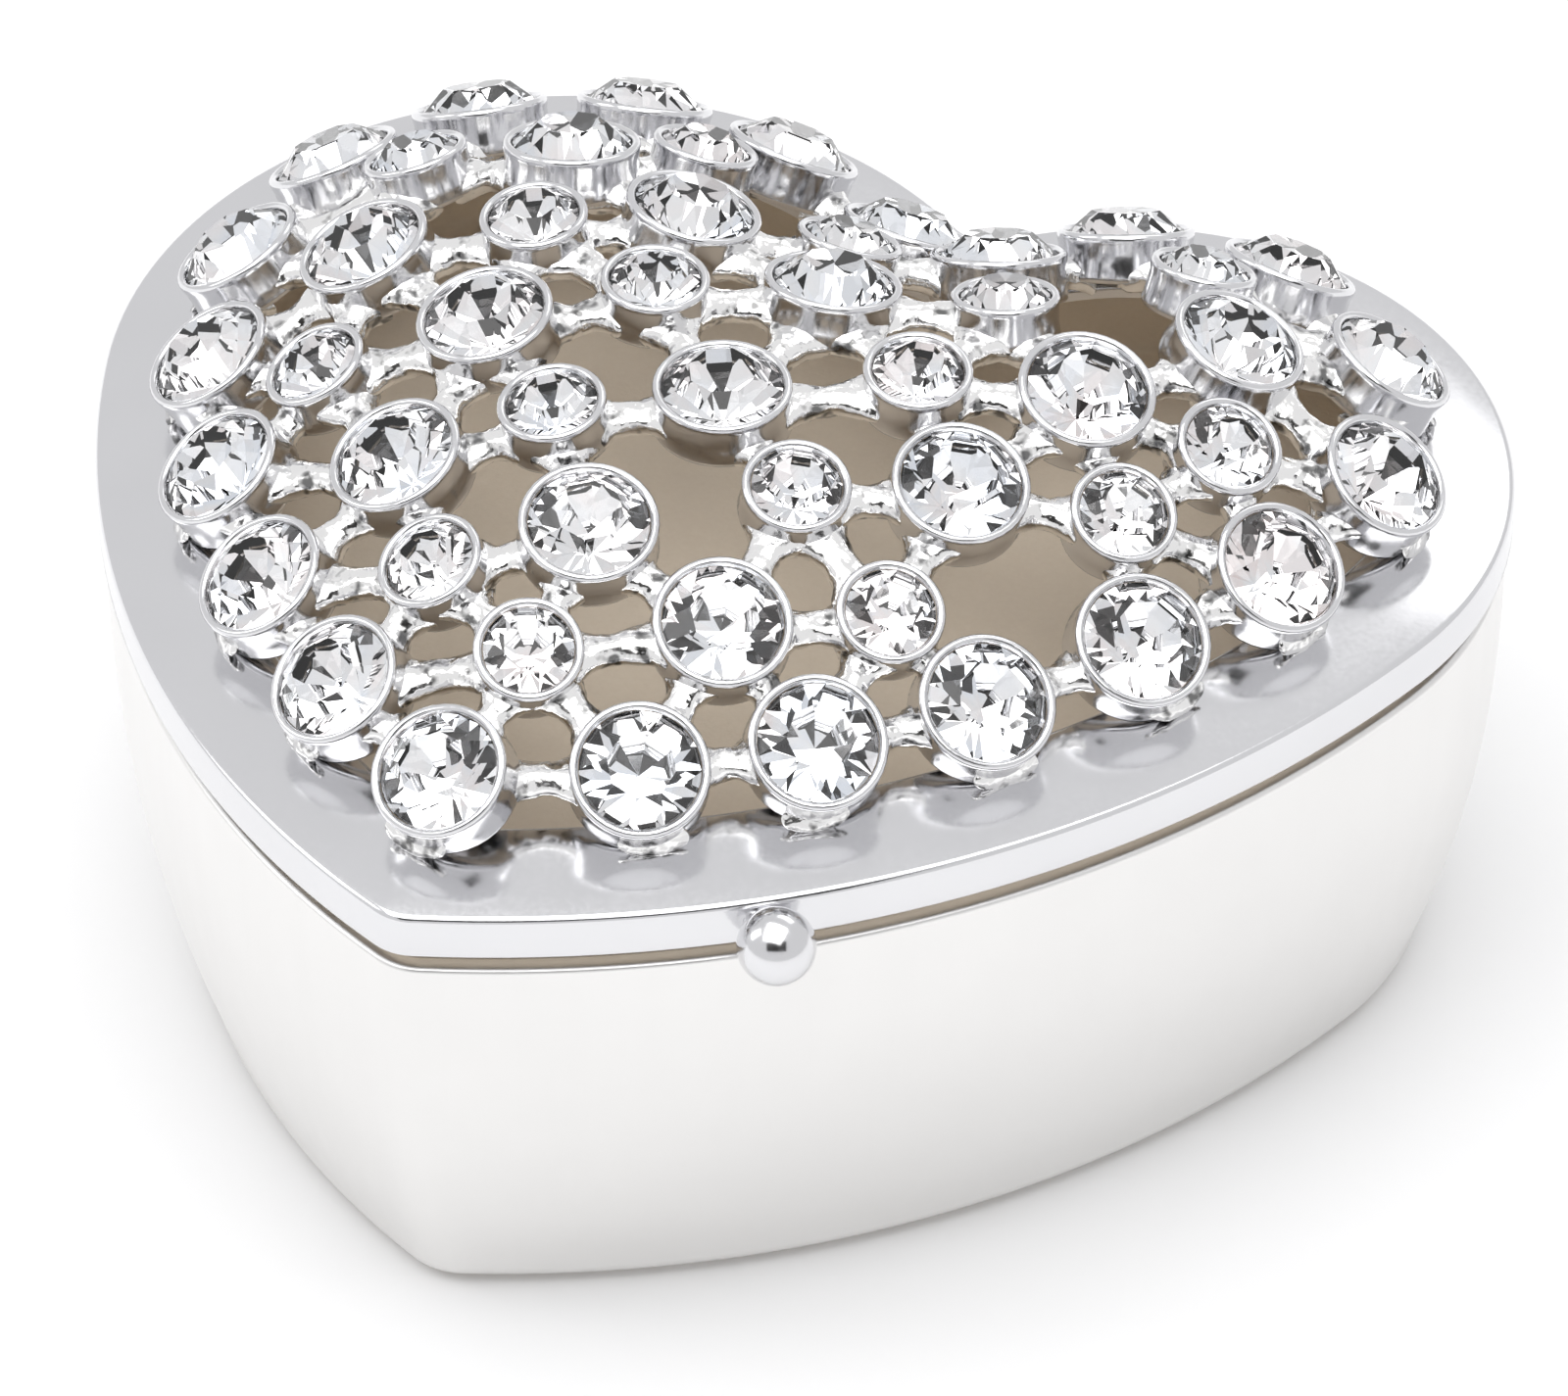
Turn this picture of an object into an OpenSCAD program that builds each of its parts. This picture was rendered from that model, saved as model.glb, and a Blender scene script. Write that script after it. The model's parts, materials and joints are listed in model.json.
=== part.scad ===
// Heart-shaped wind-up music box: a tapered body that leans to one side, a domed openwork lid
// set with crystals, and an eighteen-note movement under a lined tray. Millimetres, +Z up.
// The hinge runs along X at the back and the origin is the centre of the space it stands on.

/* [Heart outline] */
// Width across both lobes
heart_w = 100; // [96:1:104]
// Depth from the tip to the back of the lobes
heart_d = 88; // [85:1:90]
// Radius of the left lobe
left_lobe_r = 33; // [31:0.5:34]
// Radius of the right lobe
right_lobe_r = 27; // [26:0.5:29]
// Radius of the long curve down the left side
left_flank_r = 70; // [66:1:76]
// Radius of the long curve down the right side
right_flank_r = 87; // [82:1:95]
// How far the tip lies from the middle, minus is to the left
tip_x = -8; // [-10:0.5:-6]
// Rounding of the tip
tip_r = 4; // [3:0.5:5]
// Rounding of the cleft between the lobes
cleft_r = 3; // [2:0.5:4]

/* [Body] */
// Height of the body's upper edge
body_top = 34.8; // [34.5:0.1:35]
// Thickness of the body's wall
wall_t = 1.6; // [1.4:0.1:2]
// How far the wall leans in between its upper edge and its foot
body_taper = 5.7; // [5:0.1:6]
// Height of the plate that closes the base, which leaves a recess for the key
plate_z = 8; // [7.8:0.1:8.4]

/* [Lid] */
// Height of the lower edge of the lid's rim
skirt_z = 36.4; // [36.2:0.1:36.6]
// Height of the outer edge on top of the rim
rim_z = 40; // [39.8:0.1:40.5]
// Width of the polished band on top of the rim
band_w = 8.2; // [7.6:0.1:8.6]
// Rise of the dome above the rim
dome_h = 15.5; // [13:0.5:17]
// Distance from the edge at which the dome levels out
dome_run = 33; // [31:0.5:35]

/* [Stones] */
// Radius of a large stone
large_r = 4.2; // [4:0.05:4.3]
// Radius of a small stone
small_r = 3.15; // [3:0.05:3.25]
// Spacing of the outer row up the right side of the lid
right_step = 12.4; // [12.35:0.05:12.6]
// Spacing of the outer row up the left side of the lid
left_step = 11.95; // [11.8:0.05:12]
// Distance of the outer row from the lid's edge
outer_inset = 8; // [7.7:0.1:8.3]
// Widest gap between two settings that a bar joins
link_max = 5; // [4.2:0.1:5.2]

/* [Movement] */
// Height of the cylinder's axis
cyl_z = 20.2; // [20:0.1:20.3]
// Radius of the pinned cylinder
cyl_r = 5; // [4.8:0.1:5]
// Number of teeth on the comb
comb_teeth = 18; // [16:1:18]

/* [Hidden] */
$fn = 48;

silver = "#e8e6e4";
satin = "#f0efee";
crystal = "#dfe6ec";
flock = "#b9aa97";
brass = "#c9a95c";
steel = "#9a9ca0";
zinc = "#b5b7b9";

// Hinge: its axis lies just behind the lobes, level with the gap under the rim
knuckle_r = 1.5;
hinge_pin_r = 0.6;
hinge_run = 0.05;
hinge_off = 1.7;
hinge_over = hinge_off + knuckle_r;
hinge_z = 35.6;

// The origin is the middle of the box that the closed object fills
back_y = (heart_d + hinge_over)/2 - hinge_over;
tip_y = back_y - heart_d;
hinge_y = back_y + hinge_off;
left_c = [-heart_w/2 + left_lobe_r, back_y - left_lobe_r];
right_c = [heart_w/2 - right_lobe_r, back_y - right_lobe_r];
tip_c = [tip_x, tip_y + tip_r];

// Where circle a, ra meets circle b, rb: the crossing to the left of the line from a to b
function meet(a, ra, b, rb) = let (v = b - a, d = norm(v), x = (ra*ra - rb*rb + d*d)/(2*d),
    h = sqrt(max(ra*ra - x*x, 0))) a + x*v/d + h*[-v[1], v[0]]/d;
function angle_of(v) = atan2(v[1], v[0]);
function at_least(a, low) = a < low ? at_least(a + 360, low) : a;
function arc(c, r, a0, a1, n) = [for (i = [0:n - 1]) let (a = a0 + (a1 - a0)*i/n) c + r*[cos(a), sin(a)]];

// The flanks are circles that the lobes and the tip's rounding touch from inside
left_flank_c = meet(left_c, left_flank_r - left_lobe_r, tip_c, left_flank_r - tip_r);
right_flank_c = meet(tip_c, right_flank_r - tip_r, right_c, right_flank_r - right_lobe_r);
cleft_c = meet(left_c, left_lobe_r + cleft_r, right_c, right_lobe_r + cleft_r);
tip_least = 2;

// The heart moved in by d all round, as one loop of points from the tip, anticlockwise
function heart(d = 0) = let (
    t = max(tip_r - d, tip_least),
    tc = meet(left_flank_c, left_flank_r - d - t, right_flank_c, right_flank_r - d - t),
    a_left = at_least(angle_of(tc - left_flank_c), 0),
    a_right = at_least(angle_of(tc - right_flank_c), a_left),
    b_right = at_least(angle_of(right_c - right_flank_c), a_right),
    c_right = at_least(angle_of(cleft_c - right_c), b_right),
    c_left = at_least(angle_of(cleft_c - left_c), 0),
    b_left = at_least(angle_of(left_c - left_flank_c), c_left),
    cleft_from = angle_of(right_c - cleft_c),
    cleft_to = angle_of(left_c - cleft_c))
    concat(arc(tc, t, a_left, a_right, 6),
           arc(right_flank_c, right_flank_r - d, a_right, b_right, 14),
           arc(right_c, right_lobe_r - d, b_right, c_right, 22),
           arc(cleft_c, cleft_r + d, cleft_from, cleft_to, 6),
           arc(left_c, left_lobe_r - d, c_left, b_left, 22),
           arc(left_flank_c, left_flank_r - d, b_left, at_least(a_left, b_left), 14));

// A ring whose section is a loop of [distance in from the edge, height] points
module heart_ring(section) {
    m = len(section);
    n = len(heart());
    polyhedron([for (s = section) for (p = heart(s[0])) [p[0], p[1], s[1]]],
        [for (i = [0:m - 1], j = [0:n - 1]) let (k = (i + 1)%m, l = (j + 1)%n)
            [i*n + j, i*n + l, k*n + l, k*n + j]], convexity = 8);
}
module heart_plate(d, z0, z1) { translate([0, 0, z0]) linear_extrude(z1 - z0) polygon(heart(d)); }

// Body: the wall curves in towards the foot, where a thicker part carries the base plate
felt_t = 0.8;
foot_h = 2.2;
body_gap = 0.5;
ledge_w = 4;
body_curve = 2.4;
body_steps = 4;
function wall_in(z) = body_gap + body_taper*pow(1 - z/body_top, body_curve);
function wall_ring(t, z0, z1) =
    [for (i = [0:body_steps]) let (z = z0 + (z1 - z0)*i/body_steps) [wall_in(z) + t, z]];
ledge_in = wall_in(plate_z) + wall_t;
module body_shell() {
    color(satin) heart_ring(concat(
        [[wall_in(foot_h) + 0.9, felt_t], [wall_in(foot_h) + 0.25, felt_t + 0.4]],
        wall_ring(0, foot_h, body_top - 0.3), [[body_gap + 0.3, body_top], [body_gap + wall_t, body_top]],
        wall_ring(wall_t, body_top - 0.6, plate_z),
        [[ledge_in + ledge_w, plate_z], [ledge_in + ledge_w, felt_t]]));
}
module base_felt() {
    color(flock) difference() {
        heart_plate(wall_in(0) + 0.7, 0, felt_t);
        heart_plate(ledge_in + ledge_w - 0.3, -1, felt_t + 1);
    }
}

// Base plate: drops in from above onto the ledge, and carries the movement
plate_t = 1.2;
plate_fit = 0.25;
bed_z = plate_z + plate_t;
screw_r = 1;
screw_line = heart(ledge_in + 1.7);
screw_at = [for (k = [2, 30, 44, 60]) screw_line[k]];
bed_screw_at = [[-24.5, -4.5], [26.5, 20.5], [-24.5, 20.5]];
arbor_at = [-16, 8];
module base_plate() {
    color(zinc) difference() {
        heart_plate(ledge_in + plate_fit, plate_z, bed_z);
        for (p = concat(screw_at, bed_screw_at)) translate([p[0], p[1], plate_z - 1])
            cylinder(r = screw_r + 0.1, h = plate_t + 2);
        translate([arbor_at[0], arbor_at[1], plate_z - 1]) cylinder(r = 2.2, h = plate_t + 2);
    }
}
// A pan-head screw whose shank points down from z = 0
module pan_screw(len, head_r = 1.8, head_h = 1) {
    difference() {
        union() {
            cylinder(r = head_r, h = head_h);
            translate([0, 0, -len]) cylinder(r = screw_r, h = len + 0.1);
        }
        translate([-head_r, -0.25, head_h*0.55]) cube([2*head_r, 0.5, head_h]);
    }
}
module base_plate_screws() {
    color(steel) for (p = screw_at) translate([p[0], p[1], bed_z]) pan_screw(plate_t + 3, 1.45);
}

// Lined tray over the movement: its wall stands above the body and locates the lid
tray_z = 30.4;
tray_t = 1;
neck_top = 38.5;
neck_in = body_gap + wall_t + 0.3;
neck_t = 1.2;
module lining_floor() {
    color(flock) difference() {
        heart_plate(neck_in + 0.2, tray_z, tray_z + tray_t);
        translate([stop_at[0], stop_at[1], tray_z - 1]) cylinder(r = stop_r + 0.08, h = tray_t + 2);
    }
}
module lining_wall() {
    color(flock) heart_ring([[neck_in + 0.2, tray_z + tray_t], [neck_in, body_top], [neck_in, neck_top],
        [neck_in + neck_t, neck_top], [neck_in + neck_t, tray_z + tray_t]]);
}

// Hinges: one at the back of each lobe, two body knuckles round one lid knuckle
knuckle_l = 3;
knuckle_gap = 0.15;
leaf_l = 3*knuckle_l + 2*knuckle_gap;
hinge_x = [left_c[0], right_c[0]];
module knuckle(x, len) {
    difference() {
        union() {
            translate([x, hinge_y, hinge_z]) rotate([0, 90, 0])
                cylinder(r = knuckle_r, h = len, center = true);
            children();
        }
        translate([x, hinge_y, hinge_z]) rotate([0, 90, 0])
            cylinder(r = hinge_pin_r + hinge_run, h = len + 2, center = true);
    }
}
module body_hinge_leaves() {
    color(satin) for (x = hinge_x, s = [-1, 1]) knuckle(x + s*(knuckle_l + knuckle_gap), knuckle_l)
        translate([x + s*(knuckle_l + knuckle_gap) - knuckle_l/2, back_y - 1.3, hinge_z - knuckle_r])
            cube([knuckle_l, hinge_off + 1.3, 1.1]);
}
module lid_hinge_leaves() {
    color(silver) for (x = hinge_x) knuckle(x, knuckle_l)
        translate([x - knuckle_l/2, back_y - 0.8, hinge_z + 0.7]) cube([knuckle_l, hinge_off + 0.8, 0.8]);
}
module hinge_pins() {
    color(steel) for (x = hinge_x) translate([x, hinge_y, hinge_z]) rotate([0, 90, 0])
        cylinder(r = hinge_pin_r, h = leaf_l + 0.6, center = true);
}

// Lid rim: an upright skirt and a band that rises a little towards the openwork
skirt_t = 1.8;
band_rise = 1.2;
band_t = 1.1;
module lid_rim() {
    color(silver) heart_ring([[0.2, skirt_z], [0, skirt_z + 0.3], [0, rim_z - 0.6], [0.2, rim_z - 0.15],
        [0.7, rim_z], [band_w, rim_z + band_rise], [band_w, rim_z + band_rise - band_t],
        [skirt_t, rim_z - band_t], [skirt_t, skirt_z]]);
}

// Dome: the height of a stone's widest line, from its distance to the lid's edge
edge_pts = heart();
dome_power = 1.75;
slope_step = 1.5;
function inset_of(p) = min([for (q = edge_pts) norm(p - q)]);
function dome_at(p) = rim_z + dome_h*(1 - pow(1 - min(inset_of(p), dome_run)/dome_run, dome_power));
function unit(v) = v/norm(v);
function up_at(p) = unit([dome_at(p - [slope_step, 0]) - dome_at(p + [slope_step, 0]),
                          dome_at(p - [0, slope_step]) - dome_at(p + [0, slope_step]), 2*slope_step]);

// Outer row: large stones in steps along the inset heart, up both sides from the tip
row = heart(outer_inset);
row_n = len(row);
row_len = [for (i = 0, s = 0; i <= row_n; s = s + norm(row[(i + 1)%row_n] - row[i%row_n]), i = i + 1) s];
function on_row(s) = let (i = max([for (k = [0:row_n - 1]) row_len[k] <= s ? k : 0]),
    f = (s - row_len[i])/(row_len[i + 1] - row_len[i])) row[i]*(1 - f) + row[(i + 1)%row_n]*f;
tip_at = 0.5;
tip_gap = 1.4;
right_n = 9;
left_n = 10;
outer_at = concat([on_row(tip_at)], [for (i = [1:right_n]) on_row(tip_at + tip_gap + i*right_step)],
                  [for (i = [1:left_n]) on_row(row_len[row_n] + tip_at - i*left_step)]);
outer_n = len(outer_at);

// Inside the row the settings are strewn by eye, large and small turn about
large_at = [[6.5, -21], [-4.5, -18], [17.5, -4], [-20.5, -14], [-0.5, -3], [22.5, 7.5], [-19, -1], [2, 12],
            [30, 18], [-31, 6], [-10, 16], [-21, 20.5], [9.5, 25]];
small_at = [[-5, -28], [16.5, -15], [-14.5, -22.5], [7.5, -9.5], [28, 0], [-11, -8.5], [11.5, 3.5],
            [32.5, 9], [-30, -5.5], [-9, 6], [13.5, 15.5], [-19.5, 9.5], [-32, 18], [24.5, 26],
            [0, 20.5], [-13, 26]];
seats = concat([for (p = outer_at) [p, large_r]], [for (p = large_at) [p, large_r]],
               [for (p = small_at) [p, small_r]]);

cup_wall = 0.6;
cup_h = 3.2;
lip_h = 0.3;
root_depth = 2.3;
crown_k = 0.38;
table_k = 0.55;
back_k = 0.8;
girdle_t = 0.25;
seat_k = 0.13;
bar_r = 1.15;
bar_bite = 0.35;
girdle = [for (s = seats) [s[0][0], s[0][1], dome_at(s[0])]];
upward = [for (s = seats) up_at(s[0])];
root = [for (i = [0:len(seats) - 1]) girdle[i] - root_depth*upward[i]];
module seated(i) {
    u = upward[i];
    translate(girdle[i]) rotate([0, acos(u[2]), atan2(u[1], u[0])]) children();
}
module bar(a, b) {
    v = b - a;
    translate(a) rotate([0, acos(v[2]/norm(v)), atan2(v[1], v[0])]) cylinder(r = bar_r, h = norm(v));
}
// The point on the band's inner edge nearest to a setting
band_pts = heart(band_w - 0.5);
function band_near(p) = let (d = [for (q = band_pts) norm(q - p)], m = min(d),
    k = [for (i = [0:len(d) - 1]) if (d[i] == m) i][0])
    [band_pts[k][0], band_pts[k][1], rim_z + band_rise - 0.6];
// Bars start a little inside a cup's wall, so that its bore stays open
function from_cup(i, p) = root[i] + (seats[i][1] + cup_wall - bar_bite)*unit(p - root[i]);
// The lowest point of a cup's wall on the side of p
function under_cup(i, p) = let (v = p - root[i])
    root[i] + (seats[i][1] + cup_wall/2)*unit(v - (v*upward[i])*upward[i]);
function gap(i, j) = norm(root[i] - root[j]) - seats[i][1] - seats[j][1] - 2*cup_wall;
module lid_setting_web() {
    n = len(seats);
    color(silver) {
        for (i = [0:n - 1]) seated(i) difference() {
            translate([0, 0, lip_h - cup_h]) cylinder(r = seats[i][1] + cup_wall, h = cup_h);
            translate([0, 0, -girdle_t - seat_k*seats[i][1]]) cylinder(r = seats[i][1] + 0.1, h = 3);
            translate([0, 0, -cup_h]) cylinder(r = seats[i][1]*0.86, h = cup_h);
        }
        for (i = [0:n - 2], j = [i + 1:n - 1])
            if (gap(i, j) < link_max) bar(from_cup(i, root[j]), from_cup(j, root[i]));
        for (i = [0:outer_n - 1]) bar(under_cup(i, band_near(seats[i][0])), band_near(seats[i][0]));
    }
}

// A cut stone: a crown with a flat table, a thin girdle and a pointed back
module stone(r) {
    cylinder(r1 = r, r2 = r*table_k, h = r*crown_k);
    translate([0, 0, -girdle_t]) cylinder(r = r, h = girdle_t);
    translate([0, 0, -girdle_t - r*back_k]) cylinder(r1 = 0.3, r2 = r, h = r*back_k);
}
module stones(from, to) { color(crystal) for (i = [from:to]) seated(i) stone(seats[i][1]); }
module outer_row_stones() { stones(0, outer_n - 1); }
module inner_large_stones() { stones(outer_n, outer_n + len(large_at) - 1); }
module small_stones() { stones(outer_n + len(large_at), len(seats) - 1); }

// Knob: a ball on a short stem in the rim, on the right flank beside the tip
knob_r = 2.75;
knob_out = 2.55;
knob_z = 38.1;
knob_x = 15.2;
knob_edge = right_flank_c + right_flank_r*unit([knob_x - right_flank_c[0],
    -sqrt(pow(right_flank_r, 2) - pow(knob_x - right_flank_c[0], 2))]);
knob_dir = unit(knob_edge - right_flank_c);
module lid_knob() {
    p = knob_edge + knob_out*knob_dir;
    color(silver) {
        translate([p[0], p[1], knob_z]) sphere(r = knob_r);
        translate([p[0], p[1], knob_z]) rotate([0, -90, angle_of(knob_dir)])
            cylinder(r = 0.9, h = knob_out + 1);
    }
}

// Movement bedplate
bed_size = [57, 34];
bed_lo = [-27.5, -9];
bed_t = 1.8;
bed_top = bed_z + bed_t;
arbor_r = 1.5;
run_fit = 0.05;
fly_at = [24, -4.24];
module movement_bedplate() {
    color(zinc) difference() {
        translate([bed_lo[0], bed_lo[1], bed_z]) cube([bed_size[0], bed_size[1], bed_t]);
        translate([arbor_at[0], arbor_at[1], bed_z - 1]) cylinder(r = arbor_r + run_fit, h = bed_t + 2);
        translate([fly_at[0], fly_at[1], bed_z + 0.8]) cylinder(r = pivot_r + run_fit, h = bed_t, $fn = 24);
    }
}
module movement_screws() {
    color(steel) for (p = bed_screw_at) translate([p[0], p[1], plate_z]) mirror([0, 0, 1])
        pan_screw(plate_t + 1.5);
}

// Mainspring, its fixed housing, and the arbor that the key winds
house_r = 9.6;
house_top = 15.2;
module spring_housing() {
    color(brass) translate([arbor_at[0], arbor_at[1], bed_top]) difference() {
        cylinder(r = house_r, h = house_top - bed_top);
        translate([0, 0, -1]) cylinder(r = house_r - 0.7, h = house_top - bed_top + 0.3);
        cylinder(r = arbor_r + 0.5, h = 20);
    }
}
module mainspring() {
    turns = 6;
    pitch = 1.1;
    strip = 0.45;
    color(steel) translate([arbor_at[0], arbor_at[1], bed_top + 0.4]) {
        for (i = [0:turns - 1]) difference() {
            cylinder(r = arbor_r + 1 + i*pitch + strip, h = 2.6);
            translate([0, 0, -1]) cylinder(r = arbor_r + 1 + i*pitch, h = 5);
        }
        for (i = [0:turns - 2]) rotate([0, 0, i*60]) translate([arbor_r + 1 + i*pitch + strip/2, -0.2, 0])
            cube([pitch, 0.4, 2.6]);
    }
}
module winding_arbor() {
    color(steel) translate([arbor_at[0], arbor_at[1], 3.5]) cylinder(r = arbor_r, h = 14.2);
}

// Winding key: a hub on the arbor's end with two flat wings, inside the base recess
key_lo = 1.6;
key_hi = 6.9;
key_span = 20;
module winding_key() {
    h = key_hi - key_lo;
    wing_x = key_span/2 - h/2;
    color(brass) translate([arbor_at[0], arbor_at[1], key_lo]) difference() {
        union() {
            cylinder(r = 2.8, h = h);
            for (x = [-wing_x, wing_x]) {
                translate([x, 0, h/2]) rotate([90, 0, 0]) cylinder(r = h/2, h = 1.2, center = true);
                translate([x/2, 0, h/2]) cube([wing_x, 1.2, h*0.72], center = true);
            }
        }
        translate([0, 0, 1.9]) cylinder(r = arbor_r, h = h);
        for (x = [-wing_x, wing_x]) translate([x, 0, h/2]) rotate([90, 0, 0])
            cylinder(r = 1.3, h = 3, center = true);
    }
}

// Crown wheel on the arbor: its teeth stand up and turn the cylinder's pinion
tooth_m = 0.6;
crown_teeth = 32;
pinion_teeth = 10;
crown_r = crown_teeth*tooth_m/2;
pinion_r = pinion_teeth*tooth_m/2;
crown_pitch_z = cyl_z - pinion_r;
crown_face = 1.2;
module crown_wheel() {
    base_z = crown_pitch_z - 0.72;
    pitch_w = PI*tooth_m;
    color(brass) translate([arbor_at[0], arbor_at[1], 0]) difference() {
        union() {
            translate([0, 0, house_top + 0.3])
                cylinder(r = crown_r + crown_face, h = base_z - house_top - 0.3);
            for (i = [0:crown_teeth - 1]) rotate([0, 0, (i + 0.5)*360/crown_teeth])
                translate([crown_r - crown_face, 0, base_z]) rotate([90, 0, 90])
                    linear_extrude(2*crown_face - 0.1)
                        polygon([[-0.26*pitch_w, -0.1], [0.26*pitch_w, -0.1],
                                 [0.13*pitch_w, 1.25], [-0.13*pitch_w, 1.25]]);
        }
        cylinder(r = arbor_r, h = 40);
    }
}

// A spur gear outline: straight-flanked teeth with backlash, first tooth on the X axis
function gear_points(n, m, add, ded, slim) = let (r = n*m/2, half = 90/n*slim)
    [for (i = [0:n - 1], e = [[-1.25, r - ded], [-0.45, r + add], [0.45, r + add], [1.25, r - ded]])
        let (a = i*360/n + e[0]*half) e[1]*[cos(a), sin(a)]];
module along_x(x, y, z, turn = 0) {
    translate([x, y, z]) rotate([90, 0, 90]) rotate([0, 0, turn]) children();
}

// Pinned cylinder with its shaft, pinion and end gear
cyl_y = arbor_at[1];
cyl_x = [-3.5, 18];
cyl_shaft_r = 1;
drum_wall = 0.8;
module cylinder_drum() {
    len = cyl_x[1] - cyl_x[0];
    color(brass) along_x(cyl_x[0], cyl_y, cyl_z) difference() {
        cylinder(r = cyl_r, h = len);
        translate([0, 0, 1]) cylinder(r = cyl_r - drum_wall, h = len - 2);
        translate([0, 0, -1]) cylinder(r = cyl_shaft_r, h = len + 2);
    }
}
pin_h = 0.6;
pin_r = 0.2;
pin_turn = 137.5;
pin_step = 101;
comb_x = -2.8;
comb_pitch = 1.15;
module cylinder_pins() {
    color(steel) for (i = [0:comb_teeth - 1], k = [0:2])
        along_x(comb_x + comb_pitch*(i + 0.5), cyl_y, cyl_z, pin_turn*i + pin_step*k)
            translate([cyl_r - 0.3, 0, 0]) rotate([0, 90, 0]) cylinder(r = pin_r, h = pin_h + 0.3, $fn = 16);
}
module cylinder_shaft() {
    color(steel) along_x(-9.5, cyl_y, cyl_z) cylinder(r = cyl_shaft_r, h = 36.3);
}
module cylinder_pinion() {
    color(brass) along_x(arbor_at[0] + crown_r - 0.9, cyl_y, cyl_z, -90) difference() {
        linear_extrude(1.8) polygon(gear_points(pinion_teeth, tooth_m, 0.5, 0.75, 0.8));
        translate([0, 0, -1]) cylinder(r = cyl_shaft_r, h = 4);
    }
}
train_m = 0.4;
gear_teeth = 27;
gov_pinion_teeth = 9;
gear_x = 20.6;
gear_w = 2;
gear_lean = 210;
module cylinder_gear() {
    color(brass) along_x(gear_x, cyl_y, cyl_z, gear_lean) difference() {
        linear_extrude(gear_w) polygon(gear_points(gear_teeth, train_m, 0.32, 0.5, 0.85));
        translate([0, 0, -1]) cylinder(r = cyl_shaft_r, h = gear_w + 2);
    }
}
module cylinder_bracket() {
    color(zinc) difference() {
        translate([-4.9, cyl_y - 2.2, bed_top]) cube([1, 4.4, cyl_z + 2 - bed_top]);
        along_x(-6, cyl_y, cyl_z) cylinder(r = cyl_shaft_r + run_fit, h = 4);
    }
}

// Governor: a pinion and wheel on a cross shaft drive the upright screw that carries the fly
gov_gap = (gear_teeth + gov_pinion_teeth)*train_m/2;
gov_y = cyl_y + gov_gap*cos(gear_lean);
gov_z = cyl_z + gov_gap*sin(gear_lean);
gov_shaft_r = 0.7;
wheel_m = 0.45;
gov_wheel_teeth = 20;
wheel_x = 23.2;
wheel_w = 1.6;
pivot_r = 0.45;
module governor_shaft() {
    color(steel) along_x(18.2, gov_y, gov_z) cylinder(r = gov_shaft_r, h = 8.6);
}
module governor_pinion() {
    color(brass) along_x(gear_x, gov_y, gov_z, gear_lean + 180 + 180/gov_pinion_teeth) difference() {
        linear_extrude(gear_w) polygon(gear_points(gov_pinion_teeth, train_m, 0.3, 0.5, 0.8));
        translate([0, 0, -1]) cylinder(r = gov_shaft_r, h = gear_w + 2);
    }
}
module governor_wheel() {
    color(brass) along_x(wheel_x, gov_y, gov_z, 180) difference() {
        linear_extrude(wheel_w) polygon(gear_points(gov_wheel_teeth, wheel_m, 0.25, 0.45, 0.7));
        translate([0, 0, -1]) cylinder(r = gov_shaft_r, h = wheel_w + 2);
    }
}
// Two plates carry the shafts, and an arm on the outer one carries the fly's upper pivot
plate_x = [18.6, 25.6];
arm_z = 24.7;
module governor_plates() {
    color(zinc) difference() {
        union() {
            translate([plate_x[0], gov_y - 1.5, bed_top]) cube([0.8, cyl_y + 3 - gov_y, cyl_z + 2 - bed_top]);
            translate([plate_x[1], gov_y - 1.5, bed_top]) cube([1, cyl_y + 3 - gov_y, arm_z + 0.9 - bed_top]);
            translate([fly_at[0] - 1.2, fly_at[1] - 1.2, arm_z])
                cube([plate_x[1] - fly_at[0] + 2.2, gov_y - fly_at[1] + 1.2, 0.9]);
        }
        along_x(plate_x[0] - 1, cyl_y, cyl_z) cylinder(r = cyl_shaft_r + run_fit, h = 10);
        along_x(plate_x[0] - 1, gov_y, gov_z) cylinder(r = gov_shaft_r + run_fit, h = 10);
        translate([fly_at[0], fly_at[1], arm_z - 1]) cylinder(r = pivot_r + run_fit, h = 3, $fn = 24);
    }
}
// Two-start worm on the fly's arbor
worm_r = 1.2;
worm_tip = 1.72;
worm_starts = 2;
worm_lead = PI*wheel_m*worm_starts;
worm_half = 2.6;
worm_turn = -360*worm_half/worm_lead;
module governor_screw() {
    color(steel) translate([fly_at[0], fly_at[1], gov_z]) rotate([0, 0, worm_turn])
        linear_extrude(2*worm_half, center = true, twist = -360*2*worm_half/worm_lead, slices = 22, $fn = 8)
            difference() {
                union() {
                    circle(r = worm_r);
                    square([2*worm_tip, 0.7], center = true);
                }
                circle(r = pivot_r + 0.04);
            }
}
module fly_arbor() {
    color(steel) translate([fly_at[0], fly_at[1], bed_top - 0.9])
        cylinder(r = pivot_r, h = arm_z + 1.7 - bed_top, $fn = 24);
}
fly_z = 22.2;
fly_r = 3.7;
fly_h = 1.9;
module governor_fly() {
    color(brass) translate([fly_at[0], fly_at[1], fly_z]) difference() {
        union() {
            cylinder(r = 0.95, h = fly_h, $fn = 24);
            translate([-fly_r, -0.2, 0]) cube([2*fly_r, 0.4, fly_h]);
        }
        translate([0, 0, -1]) cylinder(r = pivot_r, h = fly_h + 2, $fn = 24);
    }
}

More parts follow.
